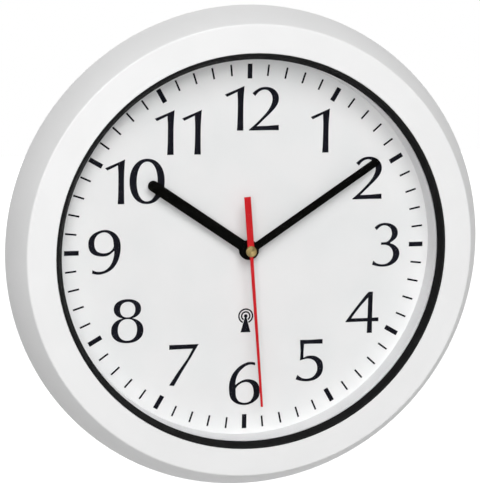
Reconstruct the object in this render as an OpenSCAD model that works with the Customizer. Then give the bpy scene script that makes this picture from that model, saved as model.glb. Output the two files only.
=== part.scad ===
// Radio-controlled wall clock with a white case, a black trim ring and a
// two-motor movement behind the dial.
//
// The pieces are drawn lying on their backs: z is the height above the wall,
// +y points to 12 o'clock and +x to 3 o'clock. upright() then stands each piece
// up, so the finished clock faces -Y with +Z up. The origin lies on the wall
// plane, on the axis of the hands.

/* [Case] */
// Widest diameter, at the line where the two case mouldings meet
case_d = 310; // [300:1:340]
// How far the side slopes in from the widest line to the front face
front_inset = 10.9; // [8:0.1:13]
// How far the side slopes in from the widest line to the rear rim
rear_inset = 10.5; // [6:0.5:12]
// Width of the flat white face round the trim ring
face_w = 18; // [17:0.1:22]
// Whole depth, from the wall to the inner edge of the face
case_depth = 44; // [43:0.5:56]
// Height of the line where the two mouldings meet
parting_h = 22; // [21:0.5:24]
// Wall thickness of both case mouldings
case_wall = 2.4; // [1.8:0.1:3]
// How far the face falls from its inner edge to its outer edge
face_fall = 1.4; // [0.4:0.1:2]
// Radius of the rounded edge between face and side
face_edge_r = 1.8; // [0.6:0.1:2.4]
// How far the side swells beyond a straight cone
side_swell = 0.7; // [0.1:0.1:1.5]
// Thickness of the floor behind the dial
floor_t = 2.4; // [1.8:0.1:3]
// Width of the flat rear rim
rim_w = 3.2; // [2.6:0.1:5]

/* [Window] */
// Width of the black trim ring
trim_w = 3.9; // [2.8:0.1:4.4]
// Width of the flat front of the trim ring
trim_land_w = 1.3; // [0.6:0.1:2]
// Depth of the slope inside the trim ring
trim_drop = 4.2; // [3:0.1:5]
// Height of the upright inner edge of the trim ring
trim_edge_h = 0.8; // [0.4:0.1:1.5]
// Width of the hidden flange that holds the trim ring in the face
trim_flange_w = 1.2; // [0.8:0.1:2]
// Thickness of that flange
trim_flange_t = 1.3; // [0.8:0.1:2]
// Thickness of the clear lens
lens_t = 2; // [1.5:0.1:3]
// Wall thickness of the collar inside the case front
collar_t = 2.2; // [1.6:0.1:3]
// Wall thickness of the white spacer ring between lens and dial
spacer_t = 1.8; // [1.2:0.1:2.4]
// Draft of the spacer ring: how much wider it is at the lens
spacer_draft = 0.5; // [0:0.1:1]

/* [Dial] */
// Thickness of the dial sheet
dial_t = 0.6; // [0.4:0.1:1]
// Gap between the ends of the minute track's bars and the window
track_gap = 4.2; // [3:0.1:12]
// Number of bars in the minute track
track_count = 60; // [12:12:120]
// Number of bars from one long bar to the next
track_step = 5; // [1:1:15]
// Length of a minute bar
minute_bar_len = 7.2; // [4:0.1:9]
// Width of a minute bar
minute_bar_w = 1.15; // [0.6:0.05:2]
// Length of a five-minute bar
hour_bar_len = 9.3; // [5:0.1:12]
// Width of a five-minute bar
hour_bar_w = 3; // [1.5:0.1:5]
// Thickness of the printed ink
ink_t = 0.15; // [0.1:0.05:0.3]

/* [Hands] */
// Length of the hour hand from the axis
hour_hand_len = 78.8; // [50:0.2:95]
// Width of the hour hand
hour_hand_w = 6.8; // [4:0.1:9]
// Length of the minute hand from the axis
minute_hand_len = 101.2; // [70:0.2:108]
// Width of the minute hand
minute_hand_w = 4.9; // [3:0.1:8]
// Length of the second hand from the axis
second_hand_len = 102; // [70:0.5:108]
// Width of the second hand beside its hub
second_hand_w = 2.2; // [1.4:0.1:4]
// Width of the second hand at its tip
second_tip_w = 1.4; // [0.8:0.1:3]
// Length of the second hand's tail
second_tail_len = 35; // [20:0.5:50]
// Width of the second hand's tail
second_tail_w = 4.2; // [2.5:0.1:6]
// Thickness of the sheet that the hands are stamped from
hand_t = 0.6; // [0.4:0.1:1]
// Diameter of the hour hand's round boss
hour_boss_d = 12.8; // [10:0.1:15]
// Diameter of the minute hand's round boss
minute_boss_d = 11.2; // [9:0.1:14]
// Thickness of those bosses
boss_t = 1.8; // [1.2:0.1:2.2]
// Diameter of the brass cap on the second hand
cap_d = 6.9; // [5:0.1:9]
// Height of the brass cap above the second hand
cap_h = 1; // [0.6:0.1:1.5]
// Height of the hour hand, as a share of the room between dial and lens
hour_hand_share = 0.347; // [0.34:0.001:0.37]
// Height of the minute hand, as a share of that room
minute_hand_share = 0.5625; // [0.55:0.0025:0.58]
// Height of the second hand, as a share of that room
second_hand_share = 0.75; // [0.74:0.005:0.78]
// Reading of the hour hand, in degrees clockwise from 12
hour_angle = 304; // [0:1:359]
// Reading of the minute hand, in degrees clockwise from 12
minute_angle = 56; // [0:1:359]
// Reading of the second hand, in degrees clockwise from 12
second_angle = 175; // [0:1:359]

/* [Back] */
// Number of screws that join the two case mouldings
case_screw_count = 6; // [4:1:10]
// Distance from the widest line of the case in to those screws
case_screw_inset = 18; // [17:0.5:20]
// Number of radial ribs behind the floor
rib_count = 12; // [6:1:18]
// Thickness of a rib
rib_t = 1.8; // [1.2:0.1:2.6]
// Height of a rib
rib_h = 5.6; // [3:0.1:8]
// Radius of the round rib that frames the movement
frame_rib_r = 52; // [51:0.5:60]
// Distance from the widest line of the case down to the keyhole's round entry
hanger_inset = 47; // [43:1:65]
// Width of the hanger plate
hanger_w = 50; // [40:1:60]
// Height of the hanger plate
hanger_h = 28; // [26:1:34]
// Thickness of the hanger plate
hanger_t = 1.6; // [1.2:0.1:2]
// Diameter of the keyhole's round entry
keyhole_d = 9; // [8:0.1:10]
// Width of the keyhole's slot
keyhole_slot_w = 4.6; // [4.2:0.1:5]
// Length of the slot, from the middle of the entry to the middle of its end
keyhole_slot_len = 9; // [7:0.5:10]
// Gap between the heads of the hanger's screws and the wall
hanger_gap = 0.5; // [0.3:0.1:1.5]

/* [Movement] */
// Room beside the cell for its two contact springs, along the cell
contact_room = 2.9; // [2.5:0.1:6]
// Reach of the movement above the axis
movement_up = 34; // [33.5:0.5:37]
// Reach of the movement below the axis
movement_down = 40; // [39.5:0.5:42]
// Thickness of the movement
movement_t = 18; // [17.6:0.1:19]
// Wall thickness of the movement's case
movement_wall = 1.4; // [1:0.1:1.6]
// Thickness of its front wall
front_wall_t = 1.5; // [1.2:0.1:1.6]
// Thickness of its rear cover
cover_t = 1.4; // [1:0.1:1.6]
// Corner radius of the movement's case
movement_corner_r = 3; // [1:0.5:4]
// Outside diameter of the brass bush round the hand tubes
bush_d = 8; // [7.4:0.1:9]
// Gap between the bush and the boss of the hour hand
bush_gap = 1.5; // [1.3:0.1:3]

/* [Gear train] */
// Axial gap between moving pieces of the gear train
axial_gap = 0.4; // [0.3:0.02:0.42]
// Thickness of each gear wheel
wheel_t = 1; // [0.8:0.05:1.02]
// Thickness of the plate between the two trains
plate_t = 1.2; // [0.8:0.1:1.3]
// Tooth module of the second wheel, the minute wheel and their pinions
drive_module = 0.3; // [0.28:0.01:0.32]
// Teeth on the second wheel and on the minute wheel
centre_teeth = 60; // [50:5:60]
// Teeth on the pinion that drives them
idler_pinion_teeth = 12; // [10:1:12]
// Tooth module of the motor stage
motor_module = 0.25; // [0.22:0.01:0.26]
// Teeth on the wheel that the motor drives
idler_teeth = 48; // [40:2:48]
// Teeth on the motor pinion
rotor_teeth = 8; // [8:1:9]
// Teeth on the pinion of the minute tube
cannon_teeth = 12; // [12:1:12]
// Teeth on the motion wheel
motion_teeth = 36; // [36:1:36]
// Teeth on the motion pinion
motion_pinion_teeth = 10; // [10:1:10]
// Teeth on the hour wheel
hour_teeth = 40; // [40:1:40]
// Tooth module of the motion pinion and the hour wheel
motion_module = 0.3; // [0.28:0.01:0.31]
// Radius of the second hand's arbor
second_arbor_r = 0.6; // [0.5:0.02:0.62]
// Outside radius of the minute tube
minute_tube_r = 1.42; // [1.35:0.01:1.44]
// Outside radius of the hour tube
hour_tube_r = 2.5; // [2.3:0.05:2.6]
// Radial clearance of the running fits
run_fit = 0.08; // [0.05:0.01:0.1]
// Radius of the small arbors of idlers and rotors
arbor_r = 0.5; // [0.4:0.02:0.55]

/* [Motors] */
// Direction from the axis to each idler, below the 3 o'clock line
idler_angle = 20; // [15:1:25]
// Direction from an idler to its motor, below the 3 o'clock line
rotor_angle = 45; // [40:1:50]
// Radius of the rotor magnet
magnet_r = 2.2; // [1.8:0.1:2.4]
// Height of the rotor magnet
magnet_h = 2.4; // [2:0.1:2.5]
// Air gap between magnet and stator
air_gap = 0.4; // [0.3:0.05:0.5]
// Thickness of the stator and of the coil core
stator_t = 0.8; // [0.5:0.1:0.9]
// Width of the stator bar round the rotor
stator_w = 6.8; // [6.6:0.1:7]
// Length of the stator bar
stator_len = 23; // [21:0.5:24]
// Distance from the rotor to the middle of the coil
coil_offset = 7; // [6.9:0.1:7.2]
// Radius of the winding on a motor coil
winding_r = 3; // [2.4:0.1:3.1]
// Radius of the end flanges of a motor coil
bobbin_r = 3.2; // [3.2:0.05:3.3]
// Width of the tabs where stator and coil core lie on each other
tab_w = 4; // [3.6:0.1:4.4]

/* [Receiver] */
// Radius of the ferrite rod of the aerial
ferrite_r = 4; // [3:0.1:4.2]
// Radius of the winding on the ferrite rod
aerial_r = 5.6; // [5:0.1:5.8]
// Length of the winding on the ferrite rod
aerial_len = 26; // [16:1:32]
// Thickness of the circuit board
board_t = 0.8; // [0.6:0.1:1.2]
// Gap between the movement's walls and the ends of the board and the ferrite rod
end_gap = 1.6; // [1:0.1:3]
// Height of the circuit board
board_h = 11; // [10:0.5:11.5]
// Height of the circuit board above the rear cover
board_gap = 5.2; // [4.8:0.1:6]
// Radius of a quartz crystal's can
crystal_r = 1; // [0.8:0.1:1.2]
// Length of a quartz crystal's can
crystal_len = 6; // [5:0.5:7]

/* [Buttons] */
// Distance between neighbouring buttons
button_pitch = 13; // [11:0.5:16]
// Radius of a button
button_r = 1.9; // [1.4:0.1:2.4]
// Travel of a button
button_travel = 0.6; // [0.4:0.05:0.7]
// Height that a button stands out of the cover
button_out = 0.8; // [0.6:0.05:1]

/* [Battery] */
// Radius of the AA cell
cell_r = 7.2; // [7:0.05:7.25]
// Length of the AA cell with its terminal
cell_len = 50.3; // [49.5:0.1:50.4]
// Length of the cell's terminal
terminal_len = 1.2; // [1:0.1:1.5]
// Radius of the cell's terminal
terminal_r = 2.75; // [2.2:0.05:2.9]
// Thickness of the contact springs
contact_t = 0.4; // [0.3:0.05:0.5]
// Height of the contact springs
contact_w = 8; // [6:0.5:9]

/* [Hidden] */
$fn = 96;

// Clearance between pieces that sit still against each other
fit = 0.1;
// Radial gap of pegs, screws and rods in their holes
peg_gap = fit / 2;
// Radial gap of the hands and the cap on their tubes
hand_gap = 0.02;
// Free play at the ends of arbors and round the loose plate
end_play = 0.2;
// Overlap that joins the shapes of one moulding
eps = 0.01;
// Extra depth of a cut that goes right through
cut = 1;

// Radii of the case
case_r = case_d / 2;
face_r = case_r - front_inset;
rim_r = case_r - rear_inset;
trim_r = face_r - face_w;
window_r = trim_r - trim_w;
track_r = window_r - track_gap;
case_screw_r = case_r - case_screw_inset;
hanger_y = case_r - hanger_inset;
opening_r = trim_r + fit;
seat_r = trim_r + trim_flange_w + fit;
collar_r = seat_r + collar_t;
stack_r = seat_r - fit;

// Heights of the case and of the stack behind the trim ring
face_edge_h = case_depth - face_fall;
lens_top = case_depth - trim_drop - trim_edge_h;
lens_bottom = lens_top - lens_t;
trim_step_h = lens_top + trim_flange_t + fit;
dial_top = parting_h + dial_t;
floor_bottom = parting_h - floor_t;

// The side slopes, so a wall of even thickness is a little thicker along r
side_slope = (case_r - face_r) / (face_edge_h - parting_h);
side_wall = case_wall * sqrt(1 + side_slope * side_slope);
lip_h = 1.5;
lip_t = 1.8;
lip_r = case_r - side_wall - lip_h * side_slope - 2 * fit;

// Heights of the hands
dial_room = lens_bottom - dial_top;
hour_hand_z = dial_top + hour_hand_share * dial_room;
minute_hand_z = dial_top + minute_hand_share * dial_room;
second_hand_z = dial_top + second_hand_share * dial_room;
bush_top = hour_hand_z - boss_t / 2 - bush_gap;
second_sheet_t = hand_t - fit;
cap_bottom = second_hand_z + second_sheet_t / 2;
pipe_wall = 0.7;
pipe_r = second_arbor_r + pipe_wall;

// The movement, from its front wall back to its cover
room_top = floor_bottom - front_wall_t;
movement_bottom = floor_bottom - movement_t;
cover_top = movement_bottom + cover_t;
room_w = cell_len + contact_room;
movement_w = room_w + 2 * movement_wall;
cell_gap = 0.5;
cell_lift = 1;
cradle_t = 2;
cradle_gap = 0.3;
bay_r = cell_r + cell_gap;
bay_y = -movement_down + movement_wall + bay_r;
divider_top = bay_y + bay_r + movement_wall;
room_up = movement_up - movement_wall;

// The train of wheels, from the dial backwards
hour_z = room_top - axial_gap - wheel_t;
motion_z = hour_z - axial_gap - wheel_t;
minute_z = motion_z - axial_gap - wheel_t;
minute_idler_z = minute_z - axial_gap - wheel_t;
plate_top = minute_idler_z - axial_gap;
plate_z = plate_top - plate_t;
second_z = plate_z - axial_gap - wheel_t;
second_idler_z = second_z - axial_gap - wheel_t;
magnet_top = second_idler_z - 1.5 * axial_gap;
core_z = magnet_top - magnet_h / 2 - stator_t / 4;
stator_z = core_z - stator_t;
stator_peg = (stator_len - tab_w) / 2;
bobbin_len = 2 * (stator_peg - tab_w / 2 - fit);
coil_z = core_z + stator_t / 2;
tube_r = 1.5;
flange_t = 1;
core_w = 2;
core_tab_w = 3.6;
cell_z = movement_bottom + cell_lift + cell_r;

// Ends of the small arbors, from the cover forwards
arbor_bottom = cover_top + 2 * end_play;
rotor_bottom = cover_top - 0.3;
arbor_middle = plate_top - end_play;
arbor_top = room_top - 4 * end_play;

// Pitch radii and distances of the gear train
drive_distance = drive_module * (centre_teeth + idler_pinion_teeth) / 2;
motor_distance = motor_module * (idler_teeth + rotor_teeth) / 2;
motion_distance = motion_module * (motion_pinion_teeth + hour_teeth) / 2;
cannon_module = 2 * motion_distance / (cannon_teeth + motion_teeth);
idler_x = drive_distance * cos(idler_angle);
idler_y = -drive_distance * sin(idler_angle);
rotor_x = idler_x + motor_distance * cos(rotor_angle);
rotor_y = idler_y - motor_distance * sin(rotor_angle);
coil_x = rotor_x + coil_offset;
addendum = 0.8;
dedendum = 1.15;
// Half of a tooth: its height over the pitch circle in modules, its half width in tooth steps
tooth_half = [[-dedendum, 0.25], [0, 0.2], [addendum, 0.08]];
tooth = concat([for (row = tooth_half) [row[0], -row[1]]], [for (i = [2:-1:0]) tooth_half[i]]);

// Phases that put every pair of gears in mesh at rest
idler_pinion_phase = mesh_phase(-idler_angle, 0, centre_teeth, idler_pinion_teeth);
rotor_phase = mesh_phase(-rotor_angle, 0, idler_teeth, rotor_teeth);
motion_phase = mesh_phase(90, 0, cannon_teeth, motion_teeth);
hour_phase = mesh_phase(-90, 0, motion_pinion_teeth, hour_teeth);

// Bores of the nested hand tubes
minute_bore_r = second_arbor_r + run_fit;
hour_bore_r = minute_tube_r + run_fit;
bush_bore_r = hour_tube_r + run_fit;
hub_wall = 0.9;
hub_r = minute_tube_r + hub_wall;

// The receiver
ferrite_len = room_w - 2 * end_gap;
board_w = room_w - 2 * end_gap;
aerial_gap = 0.3;
saddle_w = 3;
aerial_y = room_up - aerial_r - aerial_gap;
aerial_z = cover_top + aerial_r + aerial_gap;
board_top = aerial_y - aerial_r - aerial_gap - end_play;
board_y = board_top - board_h / 2;
board_z = cover_top + board_gap;
switch_h = 1.6;
chip_r = 3.6;
chip_h = 1.3;
switch_w = 4.4;
button_lift = 0.6;
button_y = board_y + button_lift;
button_floor = movement_bottom - button_out;
button_flange_t = 0.8;
button_flange_w = 0.7;
button_flange_r = button_r + button_flange_w;
button_top = board_z - switch_h - button_travel - fit;

// Posts and screws
post_r = 2.2;
board_post_r = 2;
board_post_x = board_w / 2 - 1.5 * board_post_r;
pillar_r = 1.6;
peg_r = 0.9;
peg_out = 0.4;
bearing_w = 1;
screw_r = 1.5;
screw_hole_r = screw_r + peg_gap;
screw_head_r = 2.9;
screw_head_h = 2;
head_gap = 0.4;
boss_r = 4;
case_screw_len = 13;
short_screw_len = 6;
hanger_z = hanger_gap + screw_head_h;
hanger_post_inset = 6;
hanger_post_x = hanger_w / 2 - hanger_post_inset;
hanger_rise = 3;
hanger_mid_y = hanger_y + hanger_rise;
ear_t = 2;
ear_drop = 7;
ear_reach = 5;
ear_z = floor_bottom - ear_drop;
ear_x = movement_w / 2 + ear_reach;
ear_y = 6;
ear_r = 4;
ear_post_r = 3.4;
plate_post_x = room_w / 2 - post_r - end_play;
plate_post_low = divider_top + post_r + end_play;
plate_post_high = board_top - board_h - post_r - 3 * end_play;

// Snap arms of the rear cover
arm_w = 4.6;
arm_t = 1.1;
arm_h = 5.2;
nib_t = 0.9;
nib_h = 1.2;
arm_x = room_w / 2 - 2 * fit;
arm_low_y = plate_post_high - 2 * end_play;
arm_high_y = aerial_y;

// Colours as the object shows them
white_abs = [0.94, 0.94, 0.94];
dial_white = [0.92, 0.92, 0.92];
black_paint = [0.05, 0.05, 0.05];
movement_black = [0.13, 0.13, 0.14];
signal_red = [0.8, 0.14, 0.15];
brass = [0.78, 0.64, 0.34];
steel = [0.72, 0.73, 0.75];
copper = [0.72, 0.4, 0.2];
nylon = [0.9, 0.88, 0.8];
board_green = [0.1, 0.38, 0.2];

// Stands a piece up from the bench: z turns to -Y and y to +Z
module upright() {
    rotate([90, 0, 0]) children();
}

// Puts a piece at a reading of the dial, in degrees clockwise from 12
module at_reading(angle, radius = 0) {
    rotate([0, 0, -angle]) translate([0, radius, 0]) children();
}

function unit(v) = v / norm(v);

// Points of an arc of radius r that rounds the corner at p, between a and b
function corner(a, p, b, r, steps) =
    let (
        ua = unit(a - p),
        ub = unit(b - p),
        half = acos(ua * ub) / 2,
        c = p + unit(ua + ub) * r / sin(half),
        s = p + ua * r / tan(half) - c,
        e = p + ub * r / tan(half) - c,
        start = atan2(s[1], s[0]),
        turn = atan2(s[0] * e[1] - s[1] * e[0], s * e)
    )
    [for (i = [0:steps]) c + r * [cos(start + turn * i / steps), sin(start + turn * i / steps)]];

// A closed outline whose rows are [x, y, radius], with each corner rounded
function rounded(rows, steps = 6) =
    let (n = len(rows), p = [for (row = rows) [row[0], row[1]]])
    [
        for (i = [0:n - 1])
            each (rows[i][2] > 0
                ? corner(p[(i + n - 1) % n], p[i], p[(i + 1) % n], rows[i][2], steps)
                : [p[i]])
    ];

// Rows from one end of a swelling side towards the other, without the last end
function swell(from, to, height, steps = 8) =
    let (d = to - from, out = unit([abs(d[1]), abs(d[0]) * sign(-d[0] * d[1])]))
    [
        for (i = [0:steps - 1])
            let (t = i / steps, q = from + d * t + out * height * 4 * t * (1 - t))
            [q[0], q[1], 0]
    ];

// A plate with round corners in plan, made of squares and circles
module rounded_plate(x0, x1, y0, y1, z0, z1, r) {
    translate([0, 0, z0]) linear_extrude(z1 - z0) {
        translate([x0 + r, y0]) square([x1 - x0 - 2 * r, y1 - y0]);
        translate([x0, y0 + r]) square([x1 - x0, y1 - y0 - 2 * r]);
        for (x = [x0 + r, x1 - r])
            for (y = [y0 + r, y1 - r])
                translate([x, y]) circle(r);
    }
}

module box(x0, x1, y0, y1, z0, z1) {
    translate([x0, y0, z0]) cube([x1 - x0, y1 - y0, z1 - z0]);
}

module post(x, y, r, z0, z1) {
    translate([x, y, z0]) cylinder(r = r, h = z1 - z0);
}

// A pan-head screw with a cross recess, its head down and its seat at z = 0
module pan_screw(length) {
    difference() {
        union() {
            rotate_extrude() polygon(rounded([
                [0, -screw_head_h, 0],
                [screw_head_r, -screw_head_h, 0.9],
                [screw_head_r, 0, 0],
                [0, 0, 0]
            ]));
            cylinder(r = screw_r, h = length - screw_r);
            translate([0, 0, length - screw_r]) cylinder(r1 = screw_r, r2 = screw_r / 3, h = screw_r);
        }
        for (turn = [0, 90])
            rotate([0, 0, turn])
                box(-1.6, 1.6, -0.3, 0.3, -screw_head_h - 1, -screw_head_h / 2);
    }
}

// The outline of a toothed wheel: each tooth has its flanks bent at the pitch circle
function tooth_rows(teeth, module_size, phase) =
    let (r = module_size * teeth / 2, step = 360 / teeth)
    [
        for (i = [0:teeth - 1])
            for (row = tooth)
                let (q = r + row[0] * module_size, a = phase + step * (i + row[1]))
                [q * cos(a), q * sin(a)]
    ];

// Phase of a gear that meshes with another one, which lies behind it along line
function mesh_phase(line, phase, teeth, own_teeth) =
    line + 180 - 180 / own_teeth + (line - phase) * teeth / own_teeth;

module gear(teeth, module_size, phase, z0, thickness) {
    translate([0, 0, z0]) linear_extrude(thickness)
        polygon(tooth_rows(teeth, module_size, phase));
}

// White moulding with the face, the sloping side and the collar for the window
module case_front() {
    inner_top = [face_r - side_wall * 0.7, face_edge_h - case_wall];
    profile = rounded(concat(
        swell([case_r, parting_h], [face_r, face_edge_h], side_swell),
        [
            [face_r, face_edge_h, face_edge_r],
            [opening_r, case_depth, 0.4],
            [opening_r, trim_step_h, 0],
            [seat_r, trim_step_h, 0],
            [seat_r, parting_h, 0],
            [collar_r, parting_h, 0],
            [collar_r, case_depth - case_wall - face_fall / 3, 0],
            [inner_top[0], inner_top[1], 0],
            [case_r - side_wall, parting_h, 0]
        ]
    ));
    color(white_abs) upright() difference() {
        union() {
            rotate_extrude($fn = 180) polygon(profile);
            intersection() {
                for (i = [0:case_screw_count - 1])
                    at_reading((i + 0.5) * 360 / case_screw_count, case_screw_r)
                        translate([0, 0, parting_h]) cylinder(r = boss_r, h = case_depth - parting_h);
                rotate_extrude($fn = 180) polygon([
                    [collar_r - eps, parting_h],
                    [collar_r - eps, case_depth - case_wall],
                    [inner_top[0] + eps, inner_top[1] + eps],
                    [case_r - side_wall - eps, parting_h]
                ]);
            }
        }
        for (i = [0:case_screw_count - 1])
            at_reading((i + 0.5) * 360 / case_screw_count, case_screw_r)
                translate([0, 0, parting_h - cut])
                    cylinder(r = screw_hole_r, h = case_screw_len - floor_t + 2 * cut);
    }
}

// Black ring that frames the window, held by its flange behind the face
module trim_ring() {
    flange_top = lens_top + trim_flange_t;
    color(black_paint) upright() rotate_extrude($fn = 180) polygon(rounded([
        [window_r, lens_top, 0],
        [trim_r + trim_flange_w, lens_top, 0],
        [trim_r + trim_flange_w, flange_top, 0],
        [trim_r, flange_top, 0],
        [trim_r, case_depth + fit, 0.3],
        [trim_r - trim_land_w, case_depth + fit, 0.8],
        [window_r, lens_top + trim_edge_h, 0.3]
    ]));
}

module lens() {
    color([0.85, 0.92, 0.95, 0.3]) upright()
        translate([0, 0, lens_bottom]) cylinder(r = stack_r, h = lens_t, $fn = 180);
}

// White ring between lens and dial: the upright wall that shows in the window
module spacer_ring() {
    color(white_abs) upright() rotate_extrude($fn = 180) polygon([
        [window_r - spacer_draft, dial_top],
        [stack_r, dial_top],
        [stack_r, dial_top + spacer_t],
        [window_r + spacer_t, dial_top + spacer_t],
        [window_r + spacer_t, lens_bottom - spacer_t],
        [stack_r, lens_bottom - spacer_t],
        [stack_r, lens_bottom],
        [window_r, lens_bottom]
    ]);
}

module dial() {
    color(dial_white) upright() difference() {
        translate([0, 0, parting_h]) cylinder(r = stack_r, h = dial_t, $fn = 180);
        translate([0, 0, parting_h - cut]) cylinder(r = bush_d / 2 + fit, h = dial_t + 2 * cut);
    }
}

// Printed bars of the minute track, every fifth one longer and wider
module minute_track() {
    color(black_paint) upright()
        for (i = [0:track_count - 1])
            let (
                long = i % track_step == 0,
                bar_len = long ? hour_bar_len : minute_bar_len,
                bar_w = long ? hour_bar_w : minute_bar_w
            )
            at_reading(i * 360 / track_count, track_r - bar_len)
                translate([-bar_w / 2, 0, dial_top]) cube([bar_w, bar_len, ink_t]);
}

// Dished rear moulding: the floor behind the dial, its ribs and the wall rim
module back_case() {
    skirt_in = case_r - side_wall;
    floor_edge_r = skirt_in - 1;
    color(white_abs) upright() difference() {
        union() {
            rotate_extrude($fn = 180) polygon(rounded(concat(
                [
                    [case_r, parting_h, 0],
                    [bush_d, parting_h, 0],
                    [bush_d, floor_bottom, 0],
                    [floor_edge_r, floor_bottom, 1.2],
                    [rim_r - rim_w, 0, 0.4],
                    [rim_r, 0, 0.9]
                ],
                [for (i = [1:7]) swell([rim_r, 0], [case_r, parting_h], side_swell)[i]]
            )));
            rotate_extrude($fn = 180) polygon([
                [lip_r - lip_t, parting_h - eps],
                [lip_r, parting_h - eps],
                [lip_r, parting_h + lip_h],
                [lip_r - lip_t, parting_h + lip_h]
            ]);
            translate([0, 0, floor_bottom]) difference() {
                cylinder(r = bush_d + cut, h = floor_t);
                translate([0, 0, -cut]) cylinder(r = bush_d / 2 + fit, h = floor_t + 2 * cut);
            }
            intersection() {
                for (i = [0:rib_count - 1])
                    at_reading((i + 0.5) * 360 / rib_count)
                        box(-rib_t / 2, rib_t / 2, frame_rib_r, case_r, floor_bottom - rib_h,
                            floor_bottom + eps);
                rotate_extrude() polygon([
                    [frame_rib_r, floor_bottom + 1],
                    [frame_rib_r, floor_bottom - rib_h],
                    [floor_edge_r - rib_h * (case_r - rim_r) / parting_h, floor_bottom - rib_h],
                    [skirt_in, floor_bottom + 1]
                ]);
            }
            translate([0, 0, floor_bottom - rib_h]) difference() {
                cylinder(r = frame_rib_r + rib_t, h = rib_h + eps);
                translate([0, 0, -cut]) cylinder(r = frame_rib_r, h = rib_h + 2 * cut);
            }
            for (x = [-hanger_post_x, hanger_post_x])
                post(x, hanger_mid_y, boss_r, hanger_z + hanger_t, floor_bottom + eps);
            for (x = [-ear_x, ear_x])
                post(x, ear_y, ear_post_r, ear_z + ear_t, floor_bottom + eps);
        }
        for (i = [0:case_screw_count - 1])
            at_reading((i + 0.5) * 360 / case_screw_count, case_screw_r)
                translate([0, 0, floor_bottom - rib_h - cut]) {
                    cylinder(r = screw_hole_r, h = rib_h + floor_t + lip_h + 2 * cut);
                    cylinder(r = screw_head_r + head_gap, h = rib_h + cut);
                }
        for (x = [-hanger_post_x, hanger_post_x])
            post(x, hanger_mid_y, screw_hole_r, 0, hanger_z + hanger_t + short_screw_len);
        for (x = [-ear_x, ear_x])
            post(x, ear_y, screw_hole_r, 0, ear_z + short_screw_len);
    }
}

module case_screws() {
    color(steel) upright()
        for (i = [0:case_screw_count - 1])
            at_reading((i + 0.5) * 360 / case_screw_count, case_screw_r)
                translate([0, 0, floor_bottom]) pan_screw(case_screw_len);
}

// Steel plate with the keyhole that hooks over a nail or a screw
module hanger_plate() {
    color(steel) upright() difference() {
        rounded_plate(-hanger_w / 2, hanger_w / 2, hanger_mid_y - hanger_h / 2, hanger_mid_y + hanger_h / 2,
            hanger_z, hanger_z + hanger_t, 3);
        post(0, hanger_y, keyhole_d / 2, 0, 2 * parting_h);
        post(0, hanger_y + keyhole_slot_len, keyhole_slot_w / 2, 0, 2 * parting_h);
        box(-keyhole_slot_w / 2, keyhole_slot_w / 2, hanger_y, hanger_y + keyhole_slot_len, 0, 2 * parting_h);
        for (x = [-hanger_post_x, hanger_post_x])
            post(x, hanger_mid_y, screw_hole_r, 0, 2 * parting_h);
    }
}

module hanger_screws() {
    color(steel) upright()
        for (x = [-hanger_post_x, hanger_post_x])
            translate([x, hanger_mid_y, hanger_z]) pan_screw(short_screw_len);
}

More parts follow.
